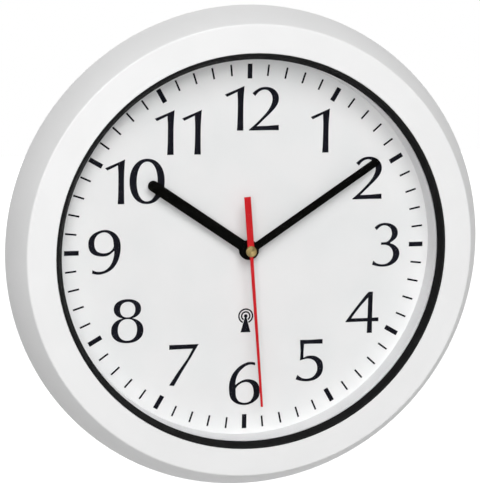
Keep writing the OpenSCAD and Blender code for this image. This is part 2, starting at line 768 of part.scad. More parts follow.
// Black front shell of the movement, with the battery bay open to the rear
module movement_case() {
    half = movement_w / 2;
    color(movement_black) upright() difference() {
        union() {
            difference() {
                union() {
                    rounded_plate(-half, half, -movement_down, movement_up, cover_top, floor_bottom,
                        movement_corner_r);
                    rounded_plate(-half, half, -movement_down, divider_top, movement_bottom, floor_bottom,
                        movement_corner_r);
                }
                box(-room_w / 2, room_w / 2, divider_top, room_up, 0, room_top);
                box(-room_w / 2, room_w / 2, bay_y - bay_r, bay_y + bay_r, 0, room_top);
            }
            // Cradle ribs under the cell
            difference() {
                for (x = [-room_w / 4, room_w / 4])
                    box(x - cradle_t / 2, x + cradle_t / 2, bay_y - bay_r, bay_y + bay_r, room_top - bay_r,
                        room_top + eps);
                translate([-half, bay_y, cell_z]) rotate([0, 90, 0])
                    cylinder(r = cell_r + cradle_gap, h = movement_w);
                box(-half, half, bay_y - bay_r - cut, bay_y + bay_r + cut, 0, cell_z);
            }
            // Posts for the plate between the trains
            for (x = [-plate_post_x, plate_post_x])
                for (y = [plate_post_low, plate_post_high]) {
                    post(x, y, post_r, plate_top, room_top + eps);
                    post(x, y, peg_r, plate_z - peg_out, plate_top + eps);
                }
            // Upper bearings of the minute train and the post of the motion wheel
            post(idler_x, idler_y, arbor_r + bearing_w, minute_z + wheel_t + axial_gap, room_top + eps);
            post(rotor_x, rotor_y, arbor_r + bearing_w, minute_z + axial_gap, room_top + eps);
            post(0, motion_distance, arbor_r, motion_z, room_top + eps);
            // Saddles of the ferrite rod
            difference() {
                for (x = [-ferrite_len / 2 + saddle_w, ferrite_len / 2 - saddle_w])
                    box(x - saddle_w / 2, x + saddle_w / 2, aerial_y - ferrite_r, aerial_y + ferrite_r,
                        aerial_z, room_top + eps);
                translate([-half, aerial_y, aerial_z]) rotate([0, 90, 0])
                    cylinder(r = ferrite_r + peg_gap, h = movement_w);
            }
            // Ears that the case screws hold
            for (x = [-1, 1]) {
                post(x * ear_x, ear_y, ear_r, ear_z, ear_z + ear_t);
                box(min(x * ear_x, x * (half - eps)), max(x * ear_x, x * (half - eps)), ear_y - ear_r,
                    ear_y + ear_r, ear_z, ear_z + ear_t);
            }
        }
        post(0, 0, bush_d / 2 + peg_gap, room_top - cut, floor_bottom + cut);
        post(idler_x, idler_y, arbor_r + run_fit, minute_z, arbor_top + 2 * end_play);
        post(rotor_x, rotor_y, arbor_r + run_fit, minute_z, arbor_top + 2 * end_play);
        for (x = [-ear_x, ear_x])
            post(x, ear_y, screw_hole_r, ear_z - cut, ear_z + ear_t + cut);
        // Windows for the nibs of the snap arms
        for (x = [-half, half])
            for (y = [arm_low_y, arm_high_y])
                box(x - 2 * movement_wall, x + 2 * movement_wall, y - arm_w / 2 - fit, y + arm_w / 2 + fit,
                    cover_top + arm_h - nib_h - fit, cover_top + arm_h + fit);
    }
}

// Rear cover of the movement, with bearings, pillars and snap arms inside
module movement_cover() {
    half = movement_w / 2;
    color(movement_black) upright() difference() {
        union() {
            rounded_plate(-half, half, divider_top + fit, movement_up, movement_bottom, cover_top,
                movement_corner_r);
            post(0, 0, second_arbor_r + bearing_w, cover_top - eps, second_z - axial_gap);
            post(-idler_x, idler_y, arbor_r + bearing_w, cover_top - eps, second_idler_z - axial_gap);
            for (x = [-rotor_x, rotor_x])
                post(x, rotor_y, arbor_r + bearing_w, cover_top - eps, magnet_top - magnet_h - axial_gap);
            for (x = [-coil_x, coil_x])
                for (y = [rotor_y - stator_peg, rotor_y + stator_peg]) {
                    post(x, y, pillar_r, cover_top - eps, stator_z);
                    post(x, y, peg_r, stator_z - eps, core_z + stator_t + peg_out);
                }
            for (x = [-board_post_x, board_post_x]) {
                post(x, board_y, board_post_r, cover_top - eps, board_z);
                post(x, board_y, peg_r, board_z - eps, board_z + board_t + peg_out);
            }
            for (side = [-1, 1])
                for (y = [arm_low_y, arm_high_y])
                    snap_arm(side, y);
        }
        post(0, 0, second_arbor_r + run_fit, cover_top, second_z);
        post(-idler_x, idler_y, arbor_r + run_fit, cover_top, second_z);
        for (x = [-rotor_x, rotor_x])
            post(x, rotor_y, arbor_r + run_fit, rotor_bottom - end_play, second_z);
        for (i = [-1:1])
            post(i * button_pitch, button_y, button_r + end_play, 0, cover_top + cut);
    }
}

module snap_arm(side, y) {
    x = side * arm_x;
    box(min(x, x - side * arm_t), max(x, x - side * arm_t), y - arm_w / 2, y + arm_w / 2,
        cover_top - eps, cover_top + arm_h);
    box(min(x, x + side * nib_t), max(x, x + side * nib_t), y - arm_w / 2, y + arm_w / 2,
        cover_top + arm_h - nib_h, cover_top + arm_h);
}

module movement_screws() {
    color(steel) upright()
        for (x = [-ear_x, ear_x])
            translate([x, ear_y, ear_z]) pan_screw(short_screw_len);
}

// Brass bush pressed into the movement, round the hand tubes
module hand_bush() {
    color(brass) upright() difference() {
        post(0, 0, bush_d / 2, room_top, bush_top);
        post(0, 0, bush_bore_r, room_top - cut, bush_top + cut);
    }
}

// Plate between the minute train in front and the second train behind
module centre_plate() {
    color(nylon) upright() difference() {
        rounded_plate(end_play - room_w / 2, room_w / 2 - end_play, divider_top + end_play,
            plate_post_high + post_r, plate_z, plate_top, 1);
        for (x = [-plate_post_x, plate_post_x])
            for (y = [plate_post_low, plate_post_high])
                post(x, y, peg_r + peg_gap, 0, parting_h);
        post(0, 0, second_arbor_r + run_fit, 0, parting_h);
        post(-idler_x, idler_y, arbor_r + run_fit, 0, parting_h);
        post(-rotor_x, rotor_y, arbor_r + run_fit, 0, parting_h);
        post(idler_x, idler_y, arbor_r + run_fit, 0, parting_h);
        post(rotor_x, rotor_y, arbor_r + run_fit, 0, parting_h);
    }
}

module circuit_board() {
    color(board_green) upright() difference() {
        rounded_plate(-board_w / 2, board_w / 2, board_top - board_h, board_top, board_z,
            board_z + board_t, 1);
        for (x = [-board_post_x, board_post_x])
            post(x, board_y, peg_r + peg_gap, 0, parting_h);
    }
}

// Round drop of black resin over the control chip
module control_chip() {
    color(black_paint) upright() translate([button_pitch / 2, board_y - chip_r / 4, board_z + board_t])
        rotate_extrude() polygon(rounded([
            [0, 0, 0],
            [chip_r, 0, 0],
            [0.7 * chip_r, 0.85 * chip_h, 0.8],
            [0, chip_h, 0]
        ]));
}

// The switches that the buttons press
module switch_blocks() {
    color(steel) upright()
        for (i = [-1:1])
            box(i * button_pitch - switch_w / 2, i * button_pitch + switch_w / 2, button_y - switch_w / 2,
                button_y + switch_w / 2, board_z - switch_h, board_z);
}

// Two metal cans: the time-keeping crystal and the receiver's crystal
module quartz_crystals() {
    color(steel) upright()
        for (x = [-1.5, 1.5])
            translate([x * button_pitch, board_y + crystal_len / 2, board_z + board_t + crystal_r + fit])
                rotate([90, 0, 0]) rotate_extrude() polygon(rounded([
                    [0, 0, 0],
                    [crystal_r, 0, 0.3],
                    [crystal_r, crystal_len, 0.3],
                    [0, crystal_len, 0]
                ]));
}

module ferrite_rod() {
    color([0.2, 0.2, 0.22]) upright()
        translate([-ferrite_len / 2, aerial_y, aerial_z]) rotate([0, 90, 0])
            cylinder(r = ferrite_r, h = ferrite_len);
}

module aerial_winding() {
    color(copper) upright()
        translate([-aerial_len / 2, aerial_y, aerial_z]) rotate([0, 90, 0]) difference() {
            cylinder(r = aerial_r, h = aerial_len);
            translate([0, 0, -cut]) cylinder(r = ferrite_r + peg_gap, h = aerial_len + 2 * cut);
        }
}

// Pieces of one motor: side is 1 for the minute motor and -1 for the second motor
module stator(side) {
    low = rotor_y - stator_len / 2;
    high = rotor_y + stator_len / 2;
    color(steel) upright() on_side(side) difference() {
        union() {
            box(rotor_x - stator_w / 2, rotor_x + stator_w / 2, low, high, stator_z, core_z);
            for (y = [rotor_y - stator_peg, rotor_y + stator_peg])
                box(rotor_x, coil_x + core_tab_w / 2, y - tab_w / 2, y + tab_w / 2, stator_z, core_z);
        }
        post(rotor_x, rotor_y, magnet_r + air_gap, 0, parting_h);
        for (y = [rotor_y - stator_peg, rotor_y + stator_peg])
            post(coil_x, y, peg_r + peg_gap, 0, parting_h);
    }
}

module coil_core(side) {
    color(steel) upright() on_side(side) difference() {
        union() {
            box(coil_x - core_w / 2, coil_x + core_w / 2, rotor_y - stator_peg, rotor_y + stator_peg, core_z,
                core_z + stator_t);
            for (y = [rotor_y - stator_peg, rotor_y + stator_peg])
                box(coil_x - core_tab_w / 2, coil_x + core_tab_w / 2, y - tab_w / 2, y + tab_w / 2, core_z,
                    core_z + stator_t);
        }
        for (y = [rotor_y - stator_peg, rotor_y + stator_peg])
            post(coil_x, y, peg_r + peg_gap, 0, parting_h);
    }
}

module bobbin(side) {
    color(nylon) upright() on_side(side)
        translate([coil_x, rotor_y + bobbin_len / 2, coil_z]) rotate([90, 0, 0]) difference() {
            union() {
                cylinder(r = tube_r, h = bobbin_len);
                cylinder(r = bobbin_r, h = flange_t);
                translate([0, 0, bobbin_len - flange_t]) cylinder(r = bobbin_r, h = flange_t);
            }
            box(-core_w / 2 - fit, core_w / 2 + fit, -stator_t / 2 - fit, stator_t / 2 + fit, -cut,
                bobbin_len + cut);
        }
}

module winding(side) {
    color(copper) upright() on_side(side)
        translate([coil_x, rotor_y + bobbin_len / 2 - flange_t - fit, coil_z]) rotate([90, 0, 0])
            difference() {
                cylinder(r = winding_r, h = bobbin_len - 2 * flange_t - 2 * fit);
                translate([0, 0, -cut]) cylinder(r = tube_r + peg_gap, h = bobbin_len);
            }
}

// Mirrors a motor piece to the other side of the axis
module on_side(side) {
    if (side > 0) children();
    if (side < 0) mirror([1, 0, 0]) children();
}

module minute_stator() { stator(1); }
module minute_core() { coil_core(1); }
module minute_bobbin() { bobbin(1); }
module minute_winding() { winding(1); }
module second_stator() { stator(-1); }
module second_core() { coil_core(-1); }
module second_bobbin() { bobbin(-1); }
module second_winding() { winding(-1); }

// A rotor: ring magnet, arbor and motor pinion, drawn on the minute side
module rotor(pinion_z, front_end, phase) {
    color(steel) {
        post(0, 0, magnet_r, magnet_top - magnet_h, magnet_top);
        post(0, 0, arbor_r, rotor_bottom, front_end);
        gear(rotor_teeth, motor_module, phase, pinion_z, wheel_t);
    }
}

// An idler: the wheel that the motor drives, and the pinion behind or in front of it
module idler(wheel_z, pinion_z, back_end, front_end, pinion_phase) {
    gear(idler_teeth, motor_module, 0, wheel_z, wheel_t);
    gear(idler_pinion_teeth, drive_module, pinion_phase, wheel_z + wheel_t - eps, pinion_z - wheel_z + eps);
    post(0, 0, arbor_r, back_end, front_end);
}

module minute_rotor() {
    upright() translate([rotor_x, rotor_y, 0])
        rotor(minute_idler_z, arbor_top, rotor_phase);
}

module second_rotor() {
    upright() mirror([1, 0, 0]) translate([rotor_x, rotor_y, 0])
        rotor(second_idler_z, arbor_middle, rotor_phase);
}

module minute_idler() {
    color(nylon) upright() translate([idler_x, idler_y, 0])
        idler(minute_idler_z, minute_z, plate_z + end_play, arbor_top, idler_pinion_phase);
}

module second_idler() {
    color(nylon) upright() mirror([1, 0, 0]) translate([idler_x, idler_y, 0])
        idler(second_idler_z, second_z, arbor_bottom, arbor_middle, idler_pinion_phase);
}

// Minute wheel with its tube and the pinion that drives the motion wheel
module minute_wheel() {
    color(nylon) upright() difference() {
        union() {
            gear(centre_teeth, drive_module, 0, minute_z, wheel_t);
            gear(cannon_teeth, cannon_module, 0, minute_z + wheel_t - eps, wheel_t + axial_gap);
            post(0, 0, minute_tube_r, minute_z, minute_hand_z + hand_t / 2);
            post(0, 0, hub_r, plate_top + axial_gap / 2, minute_z + eps);
        }
        post(0, 0, minute_bore_r, 0, case_depth);
    }
}

module motion_wheel() {
    color(nylon) upright() translate([0, motion_distance, 0]) difference() {
        union() {
            gear(motion_teeth, cannon_module, motion_phase, motion_z, wheel_t);
            gear(motion_pinion_teeth, motion_module, 0, motion_z + wheel_t - eps, wheel_t + axial_gap + eps);
        }
        post(0, 0, arbor_r + run_fit, 0, case_depth);
    }
}

module hour_wheel() {
    color(nylon) upright() difference() {
        union() {
            gear(hour_teeth, motion_module, hour_phase, hour_z, wheel_t);
            post(0, 0, hour_tube_r, hour_z, hour_hand_z + hand_t / 2);
        }
        post(0, 0, hour_bore_r, 0, case_depth);
    }
}

module second_wheel() {
    color(nylon) upright() mirror([1, 0, 0]) {
        gear(centre_teeth, drive_module, 0, second_z, wheel_t);
        post(0, 0, second_arbor_r, arbor_bottom, cap_bottom + cap_h / 2);
        post(0, 0, hub_r, second_z - axial_gap / 2, second_z + eps);
    }
}

// The AA cell lies along x with its terminal at +x
module battery() {
    body_len = cell_len - terminal_len;
    x0 = room_w / 2 - contact_t - fit - cell_len;
    color([0.3, 0.42, 0.55]) upright() translate([x0, bay_y, cell_z]) rotate([0, 90, 0])
        rotate_extrude() polygon(rounded([
            [0, 0, 0],
            [cell_r, 0, 0.7],
            [cell_r, body_len, 0.9],
            [terminal_r, body_len, 0],
            [terminal_r, cell_len, 0.5],
            [0, cell_len, 0]
        ]));
}

// Flat spring with a bow that presses on the cell; bow is its reach off the wall
module contact(side, bow) {
    wall = room_w / 2;
    half = cell_r - 1;
    foot = 2;
    tip = 1.2;
    outer = [
        [0, -half],
        [0, foot - half],
        [bow - contact_t, -tip],
        [bow - contact_t, tip],
        [0, half - foot],
        [0, half]
    ];
    color(steel) upright() on_side(side)
        translate([0, 0, cell_z - contact_w / 2]) linear_extrude(contact_w)
            polygon(concat(
                [for (p = outer) [wall - fit / 2 - p[0], bay_y + p[1]]],
                [for (i = [5:-1:0]) [wall - fit / 2 - outer[i][0] - contact_t, bay_y + outer[i][1]]]
            ));
}

module contact_plus() { contact(1, contact_t + fit / 4); }

module contact_minus() { contact(-1, room_w - cell_len - contact_t - 2.5 * fit); }

// A push button: the cap stands out of the cover and a flange keeps it in
module push_button(place) {
    color([0.75, 0.75, 0.75]) upright() translate([place * button_pitch, button_y, 0]) {
        post(0, 0, button_r, button_floor, button_top);
        post(0, 0, button_flange_r, cover_top + fit, cover_top + fit + button_flange_t);
    }
}

module reset_button() { push_button(-1); }
module receive_button() { push_button(0); }
module set_button() { push_button(1); }

// A stamped hand with parallel edges, a round tip and a thick round boss
module bar_hand(length, width, hub_d, tube_r, z) {
    difference() {
        union() {
            translate([0, 0, z - hand_t / 2]) linear_extrude(hand_t) {
                translate([-width / 2, 0]) square([width, length - width / 2]);
                translate([0, length - width / 2]) circle(width / 2);
            }
            translate([0, 0, z - boss_t / 2]) rotate_extrude() polygon(rounded([
                [0, 0, 0],
                [hub_d / 2, 0, 0.2],
                [hub_d / 2, boss_t, 0.3],
                [0, boss_t, 0]
            ]));
        }
        post(0, 0, tube_r + hand_gap, 0, 2 * case_depth);
    }
}

module hour_hand() {
    color(black_paint) upright() at_reading(hour_angle)
        bar_hand(hour_hand_len, hour_hand_w, hour_boss_d, hour_tube_r, hour_hand_z);
}

module minute_hand() {
    color(black_paint) upright() at_reading(minute_angle)
        bar_hand(minute_hand_len, minute_hand_w, minute_boss_d, minute_tube_r, minute_hand_z);
}

module second_hand() {
    sheet_bottom = second_hand_z - second_sheet_t / 2;
    right_edge = [
        [second_tail_w / 2, -second_tail_len],
        [second_tail_w / 2, 0],
        [second_hand_w / 2, 0],
        [second_tip_w / 2, second_hand_len]
    ];
    color(signal_red) upright() at_reading(second_angle) difference() {
        union() {
            translate([0, 0, sheet_bottom]) linear_extrude(second_sheet_t)
                polygon(concat(right_edge, [for (i = [3:-1:0]) [-right_edge[i][0], right_edge[i][1]]]));
            post(0, 0, 0.9 * cap_d / 2, sheet_bottom, sheet_bottom + second_sheet_t);
        }
        post(0, 0, pipe_r + hand_gap, 0, 2 * case_depth);
    }
}

// Turned brass cap with the pipe that grips the second arbor
module second_cap() {
    cap_r = cap_d / 2;
    pipe_bottom = minute_hand_z + boss_t / 2 + 2 * fit;
    dish = 0.2;
    color(brass) upright() rotate_extrude() polygon(rounded([
        [second_arbor_r + hand_gap, pipe_bottom, 0],
        [pipe_r, pipe_bottom, 0],
        [pipe_r, cap_bottom, 0],
        [cap_r, cap_bottom, 0],
        [cap_r, cap_bottom + cap_h, 0.3],
        [0, cap_bottom + cap_h - dish, 0],
        [0, cap_bottom + cap_h / 2 + fit / 2, 0],
        [second_arbor_r + hand_gap, cap_bottom + cap_h / 2 + fit / 2, 0]
    ]));
}

case_front();
trim_ring();
lens();
spacer_ring();
dial();
minute_track();
back_case();
case_screws();
hanger_plate();
hanger_screws();
movement_case();
movement_cover();
movement_screws();
hand_bush();
centre_plate();
circuit_board();
control_chip();
switch_blocks();
quartz_crystals();
ferrite_rod();
aerial_winding();
minute_stator();
minute_core();
minute_bobbin();
minute_winding();
second_stator();
second_core();
second_bobbin();
second_winding();
minute_rotor();
second_rotor();
minute_idler();
second_idler();
minute_wheel();
motion_wheel();
hour_wheel();
second_wheel();
battery();
contact_plus();
contact_minus();
reset_button();
receive_button();
set_button();
hour_hand();
minute_hand();
second_hand();
second_cap();
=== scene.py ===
"""Looks of a radio-controlled wall clock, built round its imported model.

The clock faces -Y with +Z up and its back lies on the plane y = 0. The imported
nodes keep their shapes and get their finishes here. The printed numerals and
the sign of the radio mast are made here as thin slabs of ink on the dial.
"""

import logging
import math
from dataclasses import dataclass, field, replace
from enum import Enum

import bpy
import numpy as np
from mathutils import Euler, Matrix, Vector, geometry


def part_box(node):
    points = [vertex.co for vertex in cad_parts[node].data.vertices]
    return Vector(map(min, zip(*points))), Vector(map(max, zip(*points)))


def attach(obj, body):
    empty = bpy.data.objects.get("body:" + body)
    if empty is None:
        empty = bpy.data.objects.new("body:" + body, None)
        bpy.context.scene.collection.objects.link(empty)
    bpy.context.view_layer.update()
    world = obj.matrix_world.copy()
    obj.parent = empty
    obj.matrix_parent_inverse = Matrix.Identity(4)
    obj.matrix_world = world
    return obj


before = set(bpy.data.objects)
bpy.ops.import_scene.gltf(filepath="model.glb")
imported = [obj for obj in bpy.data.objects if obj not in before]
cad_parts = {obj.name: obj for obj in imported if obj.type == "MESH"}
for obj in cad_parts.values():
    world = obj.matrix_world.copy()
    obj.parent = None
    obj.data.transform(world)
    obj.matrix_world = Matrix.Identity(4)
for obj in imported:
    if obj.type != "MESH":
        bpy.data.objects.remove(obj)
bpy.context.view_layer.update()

LOG = logging.getLogger("wall_clock")
MM = 0.001
# Width and height of the photograph, in pixels
IMAGE_SIZE = (480, 488)
# The side of the camera's sensor that the longer side of the picture spans
SENSOR_MM = 36.0
# The wave node repeats every 2 pi / 20 of a unit at scale 1
WAVE_PERIOD = math.tau / 20
# Brushing leaves lines about this many times as long as they are wide
BRUSH_LENGTH = 40
# A turn that lets a highlight run across the marks of a tool, not along them
ACROSS_THE_MARKS = 0.25
# Levels between which nearly all of a patch pattern and of a relief lie
PATCH_LOW, PATCH_HIGH = 0.35, 0.65
RELIEF_LOW, RELIEF_HIGH = 0.2, 0.8
# Inputs of a colour mix: its share, first and second colour; and its output
MIX_SHARE, MIX_FIRST, MIX_SECOND, MIXED = 0, 6, 7, 2
# The cut of outlines keeps what is inside them, and joins points this near, in millimetres
CUT_INSIDE, CUT_NEAR = 1, 1e-4
# The materials made so far, by the name of their finish
MADE: dict[str, bpy.types.Material] = {}


def linear(colour: str) -> tuple[float, float, float, float]:
    """Turns an sRGB hex colour into linear RGBA.

    Formula: the sRGB curve, a straight line near black and a power of 2.4 above.

    Args:
        colour: Six hex digits after a hash.

    Returns:
        The four linear values, with an alpha of 1.
    """
    share = np.array([int(colour[i : i + 2], 16) for i in (1, 3, 5)]) / 255
    low, high = share / 12.92, ((share + 0.055) / 1.055) ** 2.4
    return (*np.where(share <= 0.04045, low, high).tolist(), 1.0)


def add_node(
    tree: bpy.types.NodeTree,
    kind: str,
    links: dict[str | int, bpy.types.NodeSocket] | None = None,
    values: dict[str | int, object] | None = None,
    **settings: object,
) -> bpy.types.Node:
    """Adds one node to a tree.

    Args:
        tree: The node tree.
        kind: The node's type, without the words ShaderNode in front.
        links: Input socket by name or number, with the output that feeds it.
        values: Input socket by name or number, with its plain value.
        settings: Settings of the node itself, such as its operation.

    Returns:
        The new node.
    """
    node = tree.nodes.new("ShaderNode" + kind)
    for name, value in settings.items():
        setattr(node, name, value)
    for name, value in (values or {}).items():
        node.inputs[name].default_value = value
    for name, socket in (links or {}).items():
        tree.links.new(socket, node.inputs[name])
    return node


class Grain(Enum):
    """The kind of fine relief that a finish has."""

    MOULDED = "moulded"
    BRUSHED_X = "brushed along x"
    TURNED = "turned about y"
    WOUND_X = "wound about x"
    WOUND_Z = "wound about z"


@dataclass(frozen=True)
class Finish:
    """A procedural finish: two close shades, a relief and a roughness that varies with it."""

    name: str
    colour: str
    shade: str
    roughness: float
    grain: Grain = Grain.MOULDED
    grain_mm: float = 0.8
    depth_mm: float = 0.01
    patch_mm: float = 35.0
    roughness_spread: float = 0.05
    metallic: float = 0.0
    ior: float = 1.5
    specular: float = 0.5
    anisotropy: float = 0.0

    def relief(self, tree: bpy.types.NodeTree, place: bpy.types.NodeSocket) -> bpy.types.NodeSocket:
        """Adds the height pattern of the grain.

        Args:
            tree: The material's node tree.
            place: Object coordinates, in metres.

        Returns:
            The socket with a height from 0 to 1.
        """
        scale = 1 / (self.grain_mm * MM)
        if self.grain is Grain.MOULDED:
            specks = {"Scale": scale, "Detail": 3.0, "Roughness": 0.6}
            return add_node(tree, "TexNoise", {"Vector": place}, specks).outputs[0]
        if self.grain is Grain.BRUSHED_X:
            stretch = {"Scale": (scale / BRUSH_LENGTH, scale, scale)}
            stretched = add_node(tree, "Mapping", {"Vector": place}, stretch).outputs[0]
            lines = {"Scale": 1.0, "Detail": 4.0}
            return add_node(tree, "TexNoise", {"Vector": stretched}, lines).outputs[0]
        # A wave runs along the radius for turned marks and along the axis for wire
        settings: dict[str, object] = {"wave_type": "BANDS", "bands_direction": "X"}
        if self.grain is Grain.TURNED:
            settings = {"wave_type": "RINGS", "rings_direction": "Y"}
        if self.grain is Grain.WOUND_Z:
            settings["bands_direction"] = "Z"
        waves = {"Scale": scale * WAVE_PERIOD, "Distortion": 0.0, "Detail": 0.0}
        return add_node(tree, "TexWave", {"Vector": place}, waves, **settings).outputs[1]

    def colour_socket(
        self, tree: bpy.types.NodeTree, place: bpy.types.NodeSocket
    ) -> bpy.types.NodeSocket:
        """Mixes the two shades in soft patches.

        Args:
            tree: The material's node tree.
            place: Object coordinates, in metres.

        Returns:
            The socket with the colour.
        """
        clouds = {"Scale": 1 / (self.patch_mm * MM), "Detail": 2.0, "Roughness": 0.5}
        patches = add_node(tree, "TexNoise", {"Vector": place}, clouds)
        levels = {"From Min": PATCH_LOW, "From Max": PATCH_HIGH, "To Min": 0.0, "To Max": 1.0}
        share = add_node(
            tree, "MapRange", {"Value": patches.outputs[0]}, levels, interpolation_type="SMOOTHSTEP"
        )
        shades = {MIX_FIRST: linear(self.colour), MIX_SECOND: linear(self.shade)}
        mix = add_node(tree, "Mix", {MIX_SHARE: share.outputs[0]}, shades, data_type="RGBA")
        return mix.outputs[MIXED]

    def material(self) -> bpy.types.Material:
        """Builds the material, or finds it where an earlier piece has it already.

        Returns:
            The one material of this finish.
        """
        if self.name not in MADE:
            made = bpy.data.materials.new(self.name)
            made.use_nodes = True
            made.node_tree.nodes.clear()
            self.fill(made.node_tree)
            MADE[self.name] = made
        return MADE[self.name]

    def fill(self, tree: bpy.types.NodeTree) -> None:
        """Adds the surface's nodes to the material's empty tree.

        Args:
            tree: The material's node tree.
        """
        place = add_node(tree, "TexCoord").outputs["Object"]
        height = self.relief(tree, place)
        # Hollows of the relief are smoother than its tops
        spread = {
            "From Min": RELIEF_LOW,
            "From Max": RELIEF_HIGH,
            "To Min": self.roughness - self.roughness_spread / 2,
            "To Max": self.roughness + self.roughness_spread / 2,
        }
        roughness = add_node(tree, "MapRange", {"Value": height}, spread)
        depth = {"Strength": 1.0, "Distance": self.depth_mm * MM}
        bump = add_node(tree, "Bump", {"Height": height}, depth)
        links = {
            "Base Color": self.colour_socket(tree, place),
            "Roughness": roughness.outputs[0],
            "Normal": bump.outputs[0],
        }
        values = {
            "Metallic": self.metallic,
            "IOR": self.ior,
            "Specular IOR Level": self.specular,
            "Anisotropic": self.anisotropy,
            "Anisotropic Rotation": ACROSS_THE_MARKS if self.grain is Grain.TURNED else 0.0,
        }
        if self.grain is Grain.TURNED:
            # The marks run round the axis, so the highlight spreads into two wedges
            round_axis = add_node(tree, "Tangent", direction_type="RADIAL", axis="Y")
            links["Tangent"] = round_axis.outputs[0]
        surface = add_node(tree, "BsdfPrincipled", links, values)
        add_node(tree, "OutputMaterial", {"Surface": surface.outputs[0]})


@dataclass(frozen=True)
class ClearLens(Finish):
    """Cast acrylic: it lets the studio's light through to the dial undimmed."""

    tint: str = "#FFFFFF"

    def fill(self, tree: bpy.types.NodeTree) -> None:
        """Adds glass that stands open to the rays that carry light to a matt surface.

        Args:
            tree: The material's node tree.
        """
        place = add_node(tree, "TexCoord").outputs["Object"]
        height = self.relief(tree, place)
        haze = {"To Min": 0.0, "To Max": self.roughness}
        roughness = add_node(tree, "MapRange", {"Value": height}, haze)
        links = {
            "Base Color": self.colour_socket(tree, place),
            "Roughness": roughness.outputs[0],
        }
        values = {
            "Transmission Weight": 1.0,
            "IOR": self.ior,
            "Specular IOR Level": self.specular,
        }
        glass = add_node(tree, "BsdfPrincipled", links, values)
        clear = add_node(tree, "BsdfTransparent", None, {"Color": linear(self.tint)})
        rays = add_node(tree, "LightPath").outputs
        either = {0: rays["Is Shadow Ray"], 1: rays["Is Diffuse Ray"]}
        open_to = add_node(tree, "Math", either, operation="MAXIMUM")
        both = {0: open_to.outputs[0], 1: glass.outputs[0], 2: clear.outputs[0]}
        mix = add_node(tree, "MixShader", both)
        add_node(tree, "OutputMaterial", {"Surface": mix.outputs[0]})


@dataclass(frozen=True)
class CellSleeve(Finish):
    """Shrunk printed film round a dry cell, with a dark band beside one terminal."""

    band: str = "#20485F"
    band_from_mm: float = 13.0

    def colour_socket(
        self, tree: bpy.types.NodeTree, place: bpy.types.NodeSocket
    ) -> bpy.types.NodeSocket:
        """Adds the dark band beside the terminal to the sleeve's pale shades.

        Args:
            tree: The material's node tree.
            place: Object coordinates, in metres.

        Returns:
            The socket with the colour.
        """
        sleeve = super().colour_socket(tree, place)
        along = add_node(tree, "SeparateXYZ", {0: place}).outputs[0]
        start = {1: self.band_from_mm * MM}
        in_band = add_node(tree, "Math", {0: along}, start, operation="GREATER_THAN")
        links = {MIX_SHARE: in_band.outputs[0], MIX_FIRST: sleeve}
        mix = add_node(tree, "Mix", links, {MIX_SECOND: linear(self.band)}, data_type="RGBA")
        return mix.outputs[MIXED]


